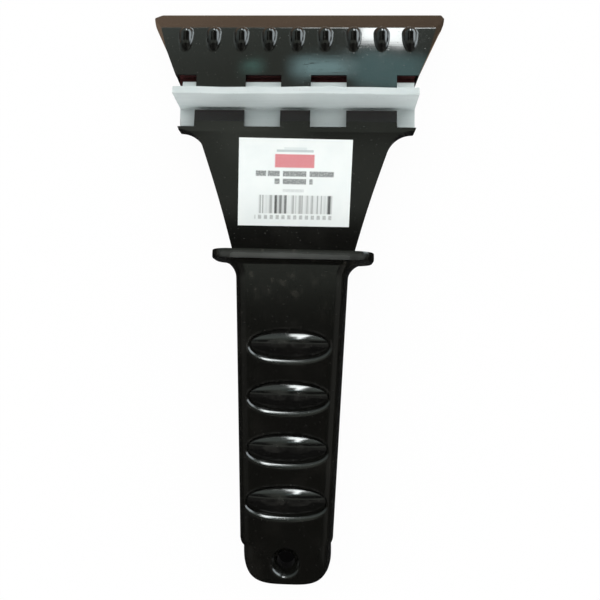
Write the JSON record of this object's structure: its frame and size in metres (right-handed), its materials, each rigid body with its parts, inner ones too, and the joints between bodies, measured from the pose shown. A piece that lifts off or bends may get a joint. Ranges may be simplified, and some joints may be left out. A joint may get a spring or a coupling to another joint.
{
  "type": "ice scraper",
  "caption": "Hand ice scraper with a bevelled flared blade, ice-breaking ribs, a slide-in squeegee strip, a guard and a two-shell handle with domed grip pads and a hang hole.",
  "frame": {"origin": "middle of the footprint, on the plane that the scraper lies on with its back down", "axes": "+Y from the handle to the blade's edge, +Z out of the front where the strip stands, +X across the blade"},
  "size_m": [0.1058, 0.2004, 0.0211],
  "materials": {
    "head_plastic": "glossy black moulding",
    "handle_plastic": "glossy black moulding",
    "pad_plastic": "soft glossy black",
    "strip_rubber": "pale grey rubber",
    "label_film": "white printed film"
  },
  "bodies": {
    "root": {"scraper_head": "head_plastic", "handle_front_shell": "handle_plastic", "handle_back_shell": "handle_plastic", "grip_pad_1": "pad_plastic", "grip_pad_2": "pad_plastic", "grip_pad_3": "pad_plastic", "grip_pad_4": "pad_plastic", "neck_label": "label_film"},
    "strip": {"squeegee_strip": "strip_rubber"}
  },
  "joints": [
    {"name": "strip_slide", "type": "slide", "parent": "root", "child": "strip", "axis": [1, 0, 0], "range_m": [-0.08, 0.08]}
  ]
}
